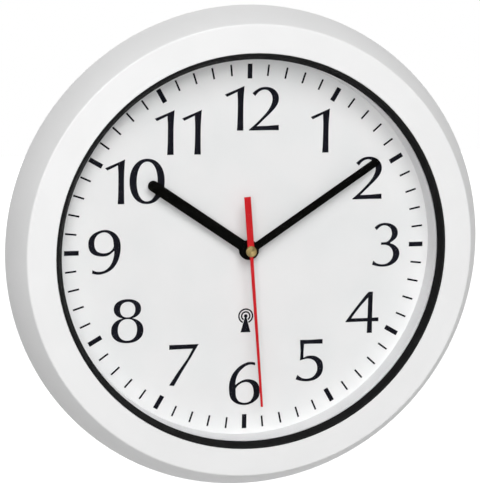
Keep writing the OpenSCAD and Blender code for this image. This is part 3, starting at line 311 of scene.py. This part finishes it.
class Finishes:
    """Every finish of the clock, each named for the real material."""

    # Moulded ABS, satin: a soft sheen over a very fine grain. Real grain is
    # about 0.1 mm; it is drawn at 0.9 mm so that it shows.
    white_abs = Finish(
        "moulded_white_abs", "#F4F4F4", "#F2F2F2", 0.42, grain_mm=0.9, depth_mm=0.004, ior=1.54
    )
    # The same ABS from a blasted core: matt, so that it mirrors little light on
    # the dial. Its grain is drawn at 0.9 mm too.
    ring_abs = Finish(
        "moulded_white_abs_ring",
        "#EFEFF0",
        "#EDEDEE",
        0.6,
        grain_mm=0.9,
        depth_mm=0.003,
        ior=1.54,
        specular=0.15,
    )
    # Black ABS: deep and matt, as hardly any highlight shows on the ring. Its
    # grain is drawn at 1.1 mm so that it shows.
    black_abs = Finish(
        "moulded_black_abs",
        "#131314",
        "#111111",
        0.55,
        grain_mm=1.1,
        depth_mm=0.003,
        ior=1.54,
        specular=0.08,
    )
    # Clear cast acrylic with a polished face. No reflection shows on it in the
    # photograph, so its index is kept low.
    lens = ClearLens("clear_lens", "#FFFFFF", "#FDFEFE", 0.02, grain_mm=60.0, ior=1.04)
    # Coated card glued to the floor: matt white with a faint fibre, which is
    # drawn at 0.7 mm so that it shows.
    dial = Finish(
        "coated_dial_card", "#EFEFEF", "#EDEDED", 0.7, grain_mm=0.7, depth_mm=0.004, specular=0.2
    )
    # Screen-printed ink: near black with a blue cast, slightly proud. The marks
    # of the screen are drawn at 0.6 mm so that they show.
    ink = Finish(
        "screen_printed_ink", "#15151B", "#17171E", 0.7, grain_mm=0.6, depth_mm=0.006, specular=0.03
    )
    # Matt enamel on stamped aluminium, with a slight orange peel.
    black_enamel = Finish(
        "matt_black_enamel", "#070706", "#080807", 0.7, grain_mm=0.9, depth_mm=0.006, specular=0.01
    )
    # The same enamel in signal red, a little glossier.
    red_enamel = Finish(
        "signal_red_enamel", "#CE2228", "#C51E24", 0.5, grain_mm=0.9, depth_mm=0.005, specular=0.1
    )
    # Free-cutting brass turned on a lathe: rings that catch the light in wedges.
    # They are drawn 0.6 mm apart so that they show.
    # Its two colours are far darker than bare brass: painted shade standing in for the dark
    # surroundings that the cap mirrors.
    turned_brass = Finish(
        "lathe_turned_brass",
        "#85744D",
        "#796844",
        0.45,
        Grain.TURNED,
        grain_mm=0.6,
        depth_mm=0.01,
        metallic=1.0,
        anisotropy=0.9,
    )
    # Zinc-plated steel: bright, a little blue, with fine drawing lines. They are
    # drawn 0.35 mm apart so that they show.
    zinc_steel = Finish(
        "zinc_plated_steel",
        "#C3C7CC",
        "#B3B5B4",
        0.34,
        Grain.BRUSHED_X,
        grain_mm=0.35,
        depth_mm=0.01,
        metallic=1.0,
    )
    # Cold-rolled steel strip: a greyer metal with the roller's fine lines, drawn
    # 0.3 mm apart so that they show.
    bare_steel = Finish(
        "rolled_spring_steel",
        "#B4B3B0",
        "#A6A5A2",
        0.3,
        Grain.BRUSHED_X,
        grain_mm=0.3,
        depth_mm=0.01,
        metallic=1.0,
    )
    # Black ABS with a spark-eroded texture, dull with a rough bite. It is drawn
    # at 0.7 mm so that it shows.
    movement = Finish(
        "spark_textured_black_abs", "#1A1A1D", "#202023", 0.55, grain_mm=0.7, depth_mm=0.03
    )
    # Natural nylon: cream, with a waxy sheen over a grain drawn at 0.6 mm.
    nylon = Finish("moulded_nylon", "#E9E4D3", "#E2DCC8", 0.5, grain_mm=0.6, depth_mm=0.006)
    # Solder mask over glass laminate: clear green with lighter and darker lanes.
    laminate = Finish(
        "green_solder_mask", "#1D5E36", "#174E2D", 0.28, grain_mm=2.0, depth_mm=0.02, patch_mm=4.0
    )
    # A drop of black epoxy over the chip: wet and glossy, a little uneven.
    resin = Finish("glossy_chip_resin", "#0C0C0E", "#141416", 0.12, grain_mm=2.5, depth_mm=0.02)
    # Pressed and fired ferrite: charcoal and dry, with grains drawn at 0.5 mm.
    ferrite = Finish("sintered_ferrite", "#2A2A2D", "#343437", 0.6, grain_mm=0.5, depth_mm=0.03)
    # Enamelled wire in close turns, 0.35 mm apart along its core: copper with a
    # fine rib for each turn.
    wire_along_z = Finish(
        "enamelled_copper_wire_z",
        "#B4622E",
        "#9E5427",
        0.3,
        Grain.WOUND_Z,
        grain_mm=0.35,
        depth_mm=0.08,
        metallic=1.0,
    )
    wire_along_x = replace(wire_along_z, name="enamelled_copper_wire_x", grain=Grain.WOUND_X)
    # Printed film shrunk round the cell: smooth, pale silver-grey and dark blue.
    sleeve = CellSleeve(
        "printed_cell_sleeve", "#D5D8DB", "#CDD1D5", 0.22, grain_mm=3.0, depth_mm=0.006
    )
    # Grey ABS caps of the push buttons: satin, with a grain drawn at 0.5 mm.
    button = Finish("moulded_grey_button", "#B9BABD", "#B0B1B4", 0.4, grain_mm=0.5, depth_mm=0.006)


def dress(node: str, finish: Finish) -> None:
    """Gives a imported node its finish.

    Args:
        node: The node's name.
        finish: The finish for all of its faces.
    """
    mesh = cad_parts[node].data
    mesh.materials.clear()
    mesh.materials.append(finish.material())
    LOG.info("dressed %s in %s", node, finish.name)


def spline(rows: tuple[tuple[float, ...], ...], steps: int = 8) -> np.ndarray:
    """Runs a smooth curve through every row.

    Formula: between two rows the curve is a cubic Hermite curve, whose tangent
    at a row is half the difference between the rows beside it.

    Args:
        rows: Points of any number of coordinates.
        steps: Points from one row to the next.

    Returns:
        The points of the curve, one row each.
    """
    points = np.asarray(rows, float)
    slopes = np.gradient(points, axis=0)
    t = np.linspace(0, len(points) - 1, (len(points) - 1) * steps + 1)
    i = np.minimum(t.astype(int), len(points) - 2)
    u = (t - i)[:, None]
    return (
        points[i] * (1 + 2 * u) * (1 - u) ** 2
        + slopes[i] * u * (1 - u) ** 2
        + points[i + 1] * u**2 * (3 - 2 * u)
        + slopes[i + 1] * u**2 * (u - 1)
    )


@dataclass(frozen=True)
class Stroke:
    """A stroke of a numeral; each row is x and z of its one edge, then x and z of its other."""

    rows: tuple[tuple[float, float, float, float], ...]
    straight: bool = False

    def outlines(self) -> list[np.ndarray]:
        """Returns the closed outline: up one edge and back down the other."""
        rows = np.asarray(self.rows, float) if self.straight else spline(self.rows)
        return [np.concatenate([rows[:, :2], rows[::-1, 2:]])]


@dataclass(frozen=True)
class Bowl:
    """A closed bowl between two ovals, each given as middle x and z, half width and half height.

    The overlap of its halves is in radians, and steps are the points along a half.
    """

    outer: tuple[float, float, float, float]
    inner: tuple[float, float, float, float]
    power: float = 2.2
    overlap: float = 0.05
    steps: int = 49

    def oval(self, sizes: tuple[float, float, float, float], angle: np.ndarray) -> np.ndarray:
        """Points of one oval.

        Formula: a superellipse, where the powers of x over the half width and
        of z over the half height add up to 1.

        Args:
            sizes: Middle x and z, half width and half height.
            angle: Directions from the middle, in radians.

        Returns:
            One row of x and z for each direction.
        """
        c, s = np.cos(angle), np.sin(angle)
        x = np.sign(c) * np.abs(c) ** (2 / self.power) * sizes[2]
        z = np.sign(s) * np.abs(s) ** (2 / self.power) * sizes[3]
        return np.stack([sizes[0] + x, sizes[1] + z], 1)

    def outlines(self) -> list[np.ndarray]:
        """Cuts the bowl into a right and a left half, which overlap a little at top and bottom.

        Returns:
            The closed outline of each half.
        """
        halves = []
        quarter = math.pi / 2 + self.overlap
        for middle in (0.0, math.pi):
            angle = middle + np.linspace(-quarter, quarter, self.steps)
            outer, inner = self.oval(self.outer, angle), self.oval(self.inner, angle[::-1])
            halves.append(np.concatenate([outer, inner]))
        return halves


# Each numeral is drawn in millimetres where it stands first on the dial, with
# x to the right and z upwards from the axis of the hands.
ONE = (
    Stroke(
        (
            (-7.9, 75.8, -3.7, 75.8),
            (-7.65, 81.0, -3.85, 81.0),
            (-7.55, 88.0, -3.95, 88.0),
            (-7.6, 95.0, -3.9, 95.0),
            (-7.8, 100.6, -3.5, 102.5),
            (-6.0, 102.9, -3.35, 104.0),
        )
    ),
    Stroke(
        ((-16.0, 98.7, -14.6, 97.2), (-9.0, 101.6, -7.8, 100.4), (-3.35, 104.0, -3.6, 101.5)),
        straight=True,
    ),
)
TWO = (
    Stroke(
        (
            (1.8, 99.4, 3.7, 97.6),
            (4.3, 101.4, 5.5, 99.8),
            (6.9, 102.8, 7.5, 101.1),
            (10.0, 103.3, 9.8, 101.6),
            (13.1, 103.0, 11.9, 101.1),
            (16.2, 101.6, 13.6, 99.6),
            (18.5, 98.9, 14.7, 97.6),
            (19.2, 95.8, 15.0, 95.2),
            (18.6, 92.9, 14.5, 92.6),
            (17.0, 90.2, 13.1, 89.7),
            (14.5, 87.4, 11.1, 86.9),
            (11.7, 84.7, 8.6, 84.2),
            (8.8, 82.0, 5.5, 81.1),
            (6.0, 79.3, 2.7, 78.6),
            (2.4, 76.3, -0.1, 76.2),
        )
    ),
    Stroke(
        (
            (-0.1, 76.3, -0.1, 75.75),
            (2.6, 78.4, 2.6, 75.75),
            (12.0, 78.6, 12.0, 75.85),
            (19.4, 79.1, 19.55, 75.75),
        ),
        straight=True,
    ),
)
THREE = (
    Stroke(
        (
            (85.0, 11.6, 86.5, 9.8),
            (86.9, 13.1, 88.1, 11.5),
            (89.2, 14.1, 90.0, 12.6),
            (91.9, 14.45, 92.1, 12.8),
            (95.0, 14.1, 94.3, 12.1),
            (98.1, 12.7, 96.0, 10.6),
            (100.2, 10.5, 96.8, 8.2),
            (100.9, 7.7, 96.7, 5.6),
            (100.3, 5.1, 95.4, 3.3),
            (98.6, 3.2, 93.5, 2.0),
            (96.6, 1.8, 91.6, 1.7),
            (94.6, 0.8, 89.7, 1.7),
        )
    ),
    Stroke(((89.7, 1.7, 89.7, 0.1), (96.0, 1.5, 96.0, 0.1)), straight=True),
    Stroke(
        (
            (94.3, 0.9, 89.7, 0.1),
            (97.2, 0.6, 92.5, 0.1),
            (99.9, -1.0, 95.2, -0.9),
            (101.7, -3.1, 97.2, -3.0),
            (102.4, -5.8, 98.0, -5.6),
            (102.0, -8.2, 97.8, -8.0),
            (100.7, -10.6, 96.6, -10.3),
            (98.3, -12.6, 94.5, -12.0),
            (95.1, -13.9, 91.9, -12.75),
            (91.2, -14.35, 89.2, -12.6),
            (87.4, -13.9, 86.7, -11.8),
            (83.9, -12.9, 84.7, -10.2),
        )
    ),
)
FOUR = (
    Stroke(
        (
            (81.6, -58.0, 85.1, -58.0),
            (81.7, -53.0, 85.0, -53.0),
            (81.9, -45.0, 84.95, -45.0),
            (81.9, -37.0, 85.0, -37.0),
            (81.9, -34.0, 85.1, -30.7),
        ),
        straight=True,
    ),
    Stroke(
        (
            (82.2, -30.7, 85.1, -30.7),
            (79.2, -34.0, 82.2, -34.1),
            (77.6, -36.0, 80.3, -36.2),
            (74.4, -40.0, 76.8, -40.0),
            (71.3, -44.0, 73.6, -44.0),
            (67.0, -49.8, 69.5, -49.8),
        ),
        straight=True,
    ),
    Stroke(
        (
            (66.9, -49.8, 67.1, -50.35),
            (68.6, -48.0, 69.5, -50.35),
            (78.0, -48.05, 78.0, -50.3),
            (85.0, -48.0, 85.0, -50.35),
            (89.3, -47.85, 89.3, -50.45),
        ),
        straight=True,
    ),
)
FIVE = (
    Stroke(
        ((36.5, -61.0, 36.6, -63.8), (43.0, -61.15, 43.0, -63.75), (51.7, -60.9, 51.7, -63.95)),
        straight=True,
    ),
    Stroke(
        ((36.5, -61.0, 39.4, -61.0), (37.0, -69.0, 39.0, -69.0), (36.65, -74.6, 39.0, -73.6)),
        straight=True,
    ),
    Stroke(
        (
            (38.4, -73.2, 36.65, -74.6),
            (41.1, -72.0, 39.4, -73.9),
            (43.9, -71.65, 42.1, -73.55),
            (47.0, -72.1, 44.7, -74.1),
            (49.7, -73.6, 46.8, -75.6),
            (51.7, -76.0, 48.1, -77.8),
            (52.4, -79.3, 48.5, -80.4),
            (52.0, -82.6, 48.0, -82.9),
            (50.5, -85.3, 46.5, -85.1),
            (48.0, -87.3, 44.3, -86.5),
            (44.8, -88.4, 41.6, -86.9),
            (41.3, -88.65, 38.8, -86.5),
            (37.5, -88.2, 36.9, -85.5),
            (34.0, -87.1, 35.2, -84.1),
        )
    ),
)
SIX = (
    Stroke(
        (
            (-6.9, -89.8, -6.3, -92.4),
            (-5.4, -88.4, -5.4, -90.5),
            (-3.6, -87.2, -3.7, -88.9),
            (-1.2, -86.1, -1.6, -87.8),
            (1.5, -85.6, 0.9, -87.4),
            (4.2, -85.9, 3.1, -88.1),
            (6.8, -86.9, 4.7, -89.6),
            (8.8, -88.9, 5.6, -91.6),
            (9.9, -91.6, 6.0, -93.9),
            (10.05, -94.6, 5.9, -96.1),
            (9.4, -97.6, 5.2, -98.2),
            (7.5, -99.9, 4.0, -100.0),
            (4.9, -101.5, 2.2, -100.9),
            (1.8, -102.5, 0.2, -101.15),
            (-1.6, -102.5, -2.0, -100.8),
            (-4.8, -101.6, -3.9, -99.8),
            (-7.5, -99.9, -5.2, -97.9),
            (-9.3, -97.6, -5.85, -95.8),
            (-10.2, -94.6, -5.95, -93.2),
        )
    ),
    Stroke(
        (
            (6.7, -74.75, 6.7, -76.6),
            (4.4, -74.3, 4.5, -76.0),
            (2.0, -74.3, 2.6, -76.05),
            (-1.1, -75.4, 0.2, -77.0),
            (-3.9, -77.1, -2.1, -78.8),
            (-6.6, -79.7, -4.0, -80.9),
            (-8.8, -83.0, -5.4, -83.7),
            (-10.05, -86.8, -6.1, -86.6),
            (-10.45, -90.5, -6.2, -89.8),
            (-10.2, -94.6, -5.95, -93.2),
        )
    ),
)
SEVEN = (
    Stroke(
        ((-50.1, -61.1, -50.1, -64.2), (-42.0, -61.2, -42.0, -64.0), (-30.8, -61.1, -32.7, -64.0)),
        straight=True,
    ),
    Stroke(
        (
            (-32.8, -61.3, -30.8, -61.1),
            (-34.9, -64.4, -32.8, -64.4),
            (-37.9, -70.0, -36.0, -70.0),
            (-40.7, -74.0, -38.5, -74.0),
            (-45.0, -80.0, -42.2, -80.0),
            (-49.9, -87.5, -46.8, -88.0),
        ),
        straight=True,
    ),
)
EIGHT = (
    Bowl((-77.4, -36.7, 8.8, 6.3), (-77.25, -37.15, 4.9, 5.0)),
    Bowl((-77.4, -50.65, 10.4, 8.15), (-77.3, -50.2, 6.2, 7.0)),
)
NINE = (
    Stroke(
        (
            (-85.6, 1.4, -86.2, 4.2),
            (-87.0, 0.1, -87.1, 2.2),
            (-88.8, -1.4, -88.7, 0.5),
            (-91.0, -2.35, -90.8, -0.35),
            (-93.6, -2.6, -93.2, -0.55),
            (-96.4, -2.25, -95.6, 0.0),
            (-99.0, -1.4, -97.3, 1.1),
            (-101.2, 0.4, -98.4, 2.9),
            (-102.4, 3.1, -98.8, 5.0),
            (-102.6, 6.3, -98.75, 7.3),
            (-101.9, 9.1, -98.0, 9.6),
            (-100.1, 11.4, -96.4, 11.5),
            (-97.3, 13.1, -94.3, 12.5),
            (-93.9, 14.15, -92.4, 12.75),
            (-90.6, 14.2, -90.5, 12.3),
            (-87.4, 13.1, -88.6, 10.9),
            (-84.7, 11.1, -87.2, 8.8),
            (-82.8, 8.3, -86.6, 6.0),
        )
    ),
    Stroke(
        (
            (-82.8, 8.3, -86.6, 6.0),
            (-82.05, 4.6, -86.3, 3.0),
            (-82.15, 0.6, -86.1, -0.4),
            (-82.9, -3.4, -86.5, -3.4),
            (-84.4, -7.0, -87.6, -6.8),
            (-86.8, -10.3, -89.4, -9.5),
            (-89.8, -12.4, -91.8, -11.4),
            (-93.2, -13.7, -94.4, -12.2),
            (-96.6, -14.1, -97.4, -12.15),
            (-100.2, -13.3, -100.0, -11.1),
        )
    ),
)
ZERO = (Bowl((-65.4, 44.5, 11.25, 14.35), (-65.4, 44.4, 6.7, 12.6), power=2.15),)

# Where each numeral stands: its glyphs, each with a move from its first place
NUMERALS = {
    "12": ((ONE, 0.0, 0.0), (TWO, 0.0, 0.0)),
    "1": ((ONE, 56.4, -14.8),),
    "2": ((TWO, 69.6, -45.45),),
    "3": ((THREE, 0.0, 0.0),),
    "4": ((FOUR, 0.0, 0.0),),
    "5": ((FIVE, 0.0, 0.0),),
    "6": ((SIX, 0.0, 0.0),),
    "7": ((SEVEN, 0.0, 0.0),),
    "8": ((EIGHT, 0.0, 0.0),),
    "9": ((NINE, 0.0, 0.0),),
    "10": ((ONE, -76.2, -45.4), (ZERO, 0.0, 0.0)),
    "11": ((ONE, -44.9, -14.8), (ONE, -27.4, -14.8)),
}


@dataclass
class DialPrint:
    """The numerals and the mast sign: flat slabs of ink on the dial card.

    The sign's sizes are in millimetres, and ring_gap is half of each ring's
    opening, in degrees from straight down.
    """

    body: str = "clock"
    slot: str = "dial_ink"
    finish: Finish = Finishes.ink
    ink_mm: float = 0.15
    sign_x: float = -0.1
    sign_z: float = -43.9
    ring_radii: tuple[float, float] = (4.5, 2.7)
    ring_w: float = 0.95
    ring_gap: tuple[float, float] = (24.0, 30.0)
    dot_r: float = 1.2
    mast_foot_z: float = -54.55
    mast_foot_w: float = 6.6
    mast_top_w: float = 0.9
    ring_points: int = 73
    dot_points: int = 32
    dial_front: float = field(init=False)

    def __post_init__(self) -> None:
        """Finds the dial's front face, on which the ink lies."""
        self.dial_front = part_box("dial")[0].y / MM

    def slab(self, outlines: list[np.ndarray]) -> tuple[np.ndarray, list[list[int]]]:
        """Joins flat outlines into one closed slab.

        Formula: the outlines' union is cut into triangles, which make the front
        face. The same triangles turned round make the back face, and every edge
        that only one triangle has carries a side wall.

        Args:
            outlines: Closed outlines, rows of x and z in millimetres.

        Returns:
            The points in metres, and the faces.
        """
        # The cut takes each outline the way round that keeps its inside on the left
        nexts = [np.roll(o, -1, axis=0) for o in outlines]
        areas = [np.sum(o[:, 0] * n[:, 1] - n[:, 0] * o[:, 1]) for o, n in zip(outlines, nexts)]
        outlines = [o if area > 0 else o[::-1] for o, area in zip(outlines, areas)]
        points = np.concatenate(outlines)
        ends = np.cumsum([len(o) for o in outlines])
        loops = [list(range(end - len(o), end)) for o, end in zip(outlines, ends)]
        flat, _, faces, _, _, sources = geometry.delaunay_2d_cdt(
            [Vector(p) for p in points.tolist()], [], loops, CUT_INSIDE, CUT_NEAR, True
        )
        tri = np.array([f for f, source in zip(faces, sources) if source])
        used, tri = np.unique(tri, return_inverse=True)
        tri = tri.reshape(-1, 3)
        xz = np.array([tuple(p) for p in flat])[used]
        count = len(xz)
        edges = np.concatenate([tri[:, [0, 1]], tri[:, [1, 2]], tri[:, [2, 0]]])
        code, back = edges[:, 0] * count + edges[:, 1], edges[:, 1] * count + edges[:, 0]
        rim = edges[~np.isin(code, back)]
        front_y = np.full(count, self.dial_front - self.ink_mm)
        verts = np.concatenate(
            [
                np.stack([xz[:, 0], front_y, xz[:, 1]], 1),
                np.stack([xz[:, 0], front_y + self.ink_mm, xz[:, 1]], 1),
            ]
        )
        walls = np.stack([rim[:, 1], rim[:, 0], rim[:, 0] + count, rim[:, 1] + count], 1)
        return verts * MM, tri.tolist() + (tri[:, ::-1] + count).tolist() + walls.tolist()

    def piece(self, name: str, outlines: list[np.ndarray]) -> None:
        """Makes one printed piece, finishes it and lets it ride with the dial.

        Args:
            name: The piece's name.
            outlines: Closed outlines, rows of x and z in millimetres.
        """
        verts, faces = self.slab(outlines)
        mesh = bpy.data.meshes.new(name)
        mesh.from_pydata(verts.tolist(), [], faces)
        mesh.materials.append(self.finish.material())
        piece = bpy.data.objects.new(name, mesh)
        bpy.context.scene.collection.objects.link(piece)
        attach(piece, self.body)
        LOG.info("made %s with %d faces", name, len(faces))

    def arc(self, radius: float, gap: float) -> np.ndarray:
        """Outline of one broadcast ring, open at the bottom.

        Formula: two circles half the ring's width inside and outside its middle
        radius, from the gap's one side round over the top to its other side.

        Args:
            radius: The ring's middle radius.
            gap: Half of the opening, in degrees from straight down.

        Returns:
            The closed outline, rows of x and z in millimetres.
        """
        turn = np.radians(np.linspace(-90 + gap, 270 - gap, self.ring_points))
        way = np.stack([np.cos(turn), np.sin(turn)], 1)
        outer, inner = radius + self.ring_w / 2, radius - self.ring_w / 2
        return np.concatenate([way * outer, way[::-1] * inner]) + (self.sign_x, self.sign_z)

    def sign(self) -> list[np.ndarray]:
        """Outlines of the mast sign: a dot, two open rings and a mast that widens to its foot.

        Returns:
            The closed outlines, rows of x and z in millimetres.
        """
        turn = np.linspace(0, math.tau, self.dot_points, endpoint=False)
        way = np.stack([np.cos(turn), np.sin(turn)], 1)
        dot = way * self.dot_r + (self.sign_x, self.sign_z)
        top_z = self.sign_z - self.dot_r / 2
        mast = np.array(
            [
                (self.sign_x - self.mast_foot_w / 2, self.mast_foot_z),
                (self.sign_x + self.mast_foot_w / 2, self.mast_foot_z),
                (self.sign_x + self.mast_top_w / 2, top_z),
                (self.sign_x - self.mast_top_w / 2, top_z),
            ]
        )
        return [dot, mast, *(self.arc(r, g) for r, g in zip(self.ring_radii, self.ring_gap))]

    def build(self) -> None:
        """Makes every numeral and the sign."""
        for reading, glyphs in NUMERALS.items():
            outlines = [
                outline + (dx, dz)
                for glyph, dx, dz in glyphs
                for shape in glyph
                for outline in shape.outlines()
            ]
            self.piece("numeral_" + reading, outlines)
        self.piece("radio_mast_sign", self.sign())
        dress("minute_track", self.finish)


@dataclass
class Assembly:
    """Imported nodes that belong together, with the finish of each."""

    finishes: dict[str, Finish]

    def build(self) -> None:
        """Dresses every node."""
        for node, finish in self.finishes.items():
            dress(node, finish)


@dataclass
class Case(Assembly):
    """The white case with its window: mouldings, trim ring, lens, dial card and fittings."""

    finishes: dict[str, Finish] = field(
        default_factory=lambda: {
            "case_front": Finishes.white_abs,
            "back_case": Finishes.white_abs,
            "spacer_ring": Finishes.ring_abs,
            "trim_ring": Finishes.black_abs,
            "lens": Finishes.lens,
            "dial": Finishes.dial,
            "case_screws": Finishes.zinc_steel,
            "hanger_plate": Finishes.zinc_steel,
            "hanger_screws": Finishes.zinc_steel,
        }
    )


@dataclass
class Hands(Assembly):
    """The three hands, the turned cap and the brass bush round the tubes of the hands."""

    finishes: dict[str, Finish] = field(
        default_factory=lambda: {
            "hour_hand": Finishes.black_enamel,
            "minute_hand": Finishes.black_enamel,
            "second_hand": Finishes.red_enamel,
            "second_cap": Finishes.turned_brass,
            "hand_bush": Finishes.turned_brass,
        }
    )


@dataclass
class Movement(Assembly):
    """The movement behind the dial: its case, motors, gear train, receiver, buttons and cell."""

    finishes: dict[str, Finish] = field(
        default_factory=lambda: {
            "movement_case": Finishes.movement,
            "movement_cover": Finishes.movement,
            "movement_screws": Finishes.zinc_steel,
            "centre_plate": Finishes.nylon,
            "circuit_board": Finishes.laminate,
            "control_chip": Finishes.resin,
            "switch_blocks": Finishes.bare_steel,
            "quartz_crystals": Finishes.bare_steel,
            "ferrite_rod": Finishes.ferrite,
            "aerial_winding": Finishes.wire_along_x,
            "battery": Finishes.sleeve,
            "contact_plus": Finishes.bare_steel,
            "contact_minus": Finishes.bare_steel,
            "reset_button": Finishes.button,
            "receive_button": Finishes.button,
            "set_button": Finishes.button,
            "motion_wheel": Finishes.nylon,
            "hour_wheel": Finishes.nylon,
        }
    )
    train_finishes: dict[str, Finish] = field(
        default_factory=lambda: {
            "stator": Finishes.bare_steel,
            "core": Finishes.bare_steel,
            "bobbin": Finishes.nylon,
            "winding": Finishes.wire_along_z,
            "rotor": Finishes.ferrite,
            "idler": Finishes.nylon,
            "wheel": Finishes.nylon,
        }
    )

    def build(self) -> None:
        """Dresses every node of the movement; its two motors and trains share their finishes."""
        super().build()
        for train in ("minute", "second"):
            for part, finish in self.train_finishes.items():
                dress(f"{train}_{part}", finish)


@dataclass(frozen=True)
class Softbox:
    """A square lamp that looks at the middle of the clock, in metres, degrees and watts."""

    name: str
    azimuth: float
    elevation: float
    distance: float
    size: float
    power: float

    def build(self) -> None:
        """Adds the lamp."""
        lamp = bpy.data.lights.new(self.name, "AREA")
        lamp.shape, lamp.size, lamp.energy = "SQUARE", self.size, self.power
        a, e = math.radians(self.azimuth), math.radians(self.elevation)
        back = Vector((math.sin(a) * math.cos(e), -math.cos(a) * math.cos(e), math.sin(e)))
        holder = bpy.data.objects.new(self.name, lamp)
        holder.location = back * self.distance
        holder.rotation_euler = (-back).to_track_quat("-Z", "Y").to_euler()
        holder.visible_camera = False
        bpy.context.scene.collection.objects.link(holder)
        LOG.info("lamp %s of %g W", self.name, self.power)


@dataclass
class Studio:
    """Camera, lamps, floor and plain white surroundings, in metres and degrees."""

    camera_at: tuple[float, float, float] = (-0.3320, -1.3069, 0.2298)
    camera_turn: tuple[float, float, float] = (80.291, -0.925, -14.142)
    focal_px: float = 2109.3
    clip: tuple[float, float] = (0.05, 60.0)
    surroundings: str = "#FFFFFF"
    ambient: float = 0.02
    floor_z: float = -0.6
    floor_half: float = 5.0
    floor_paint: str = "#BABABA"
    floor_glow: str = "#F8F8F8"
    softboxes: tuple[Softbox, ...] = (
        Softbox("front_lamp", -18.0, 10.0, 8.0, 4.2, 247.0),
        Softbox("key_lamp", 0.0, 40.0, 8.0, 4.8, 378.0),
        Softbox("low_right_lamp", 35.0, 3.0, 8.0, 3.0, 20.0),
        Softbox("back_lamp", 180.0, 20.0, 6.0, 3.6, 150.0),
    )

    def camera(self) -> None:
        """Adds the camera at the photograph's place; its long side spans the sensor."""
        data = bpy.data.cameras.new("camera")
        data.sensor_width = SENSOR_MM
        data.lens = self.focal_px * SENSOR_MM / max(IMAGE_SIZE)
        data.clip_start, data.clip_end = self.clip
        holder = bpy.data.objects.new("camera", data)
        turn = Euler([math.radians(angle) for angle in self.camera_turn])
        holder.matrix_world = Matrix.Translation(self.camera_at) @ turn.to_matrix().to_4x4()
        bpy.context.scene.collection.objects.link(holder)
        bpy.context.scene.camera = holder

    def seen(self, tree: bpy.types.NodeTree) -> bpy.types.NodeSocket:
        """Adds the test for rays that show the surroundings: straight, in gloss or through glass.

        Light that reaches a matt surface through the lens isn't such a ray, so
        the dial card is lit no more than the case is.

        Args:
            tree: The node tree of the world or a material.

        Returns:
            A socket that is 1 for such a ray and 0 for any other.
        """
        rays = add_node(tree, "LightPath").outputs
        shown = rays["Is Camera Ray"]
        for ray in ("Is Glossy Ray", "Is Transmission Ray"):
            pair = {0: shown, 1: rays[ray]}
            shown = add_node(tree, "Math", pair, operation="MAXIMUM").outputs[0]
        pair = {0: shown, 1: rays["Diffuse Depth"]}
        return add_node(tree, "Math", pair, operation="GREATER_THAN").outputs[0]

    def world(self) -> None:
        """Adds white surroundings that light the clock only at the ambient level."""
        world = bpy.data.worlds.new("plain_white")
        world.use_nodes = True
        tree = world.node_tree
        tree.nodes.clear()
        levels = {"To Min": self.ambient, "To Max": 1.0}
        strength = add_node(tree, "MapRange", {"Value": self.seen(tree)}, levels)
        colour = {"Color": linear(self.surroundings)}
        light = add_node(tree, "Background", {"Strength": strength.outputs[0]}, colour)
        add_node(tree, "OutputWorld", {"Surface": light.outputs[0]})
        bpy.context.scene.world = world

    def floor(self) -> None:
        """Adds the pale floor below the hanging clock; it shows white but keeps a shadow."""
        half = self.floor_half
        mesh = bpy.data.meshes.new("studio_floor")
        corners = [(-half, -half), (half, -half), (half, half), (-half, half)]
        mesh.from_pydata([(x, y, self.floor_z) for x, y in corners], [], [(0, 1, 2, 3)])
        paint = bpy.data.materials.new("pale_floor_paint")
        paint.use_nodes = True
        tree = paint.node_tree
        tree.nodes.clear()
        matt = add_node(tree, "BsdfDiffuse", None, {"Color": linear(self.floor_paint)})
        colour = {"Color": linear(self.floor_glow)}
        glow = add_node(tree, "Emission", {"Strength": self.seen(tree)}, colour)
        both = add_node(tree, "AddShader", {0: matt.outputs[0], 1: glow.outputs[0]})
        add_node(tree, "OutputMaterial", {"Surface": both.outputs[0]})
        mesh.materials.append(paint)
        floor = bpy.data.objects.new("studio_floor", mesh)
        bpy.context.scene.collection.objects.link(floor)

    def build(self) -> None:
        """Sets up the whole studio."""
        bpy.context.scene.view_settings.view_transform = "Standard"
        self.camera()
        self.world()
        self.floor()
        for softbox in self.softboxes:
            softbox.build()


def main() -> None:
    """Builds the clock's looks in order."""
    logging.basicConfig(level=logging.INFO, format="%(name)s: %(message)s")
    for section in (Case(), DialPrint(), Hands(), Movement(), Studio()):
        LOG.info("building %s", type(section).__name__)
        section.build()


if __name__ == "__main__":
    main()
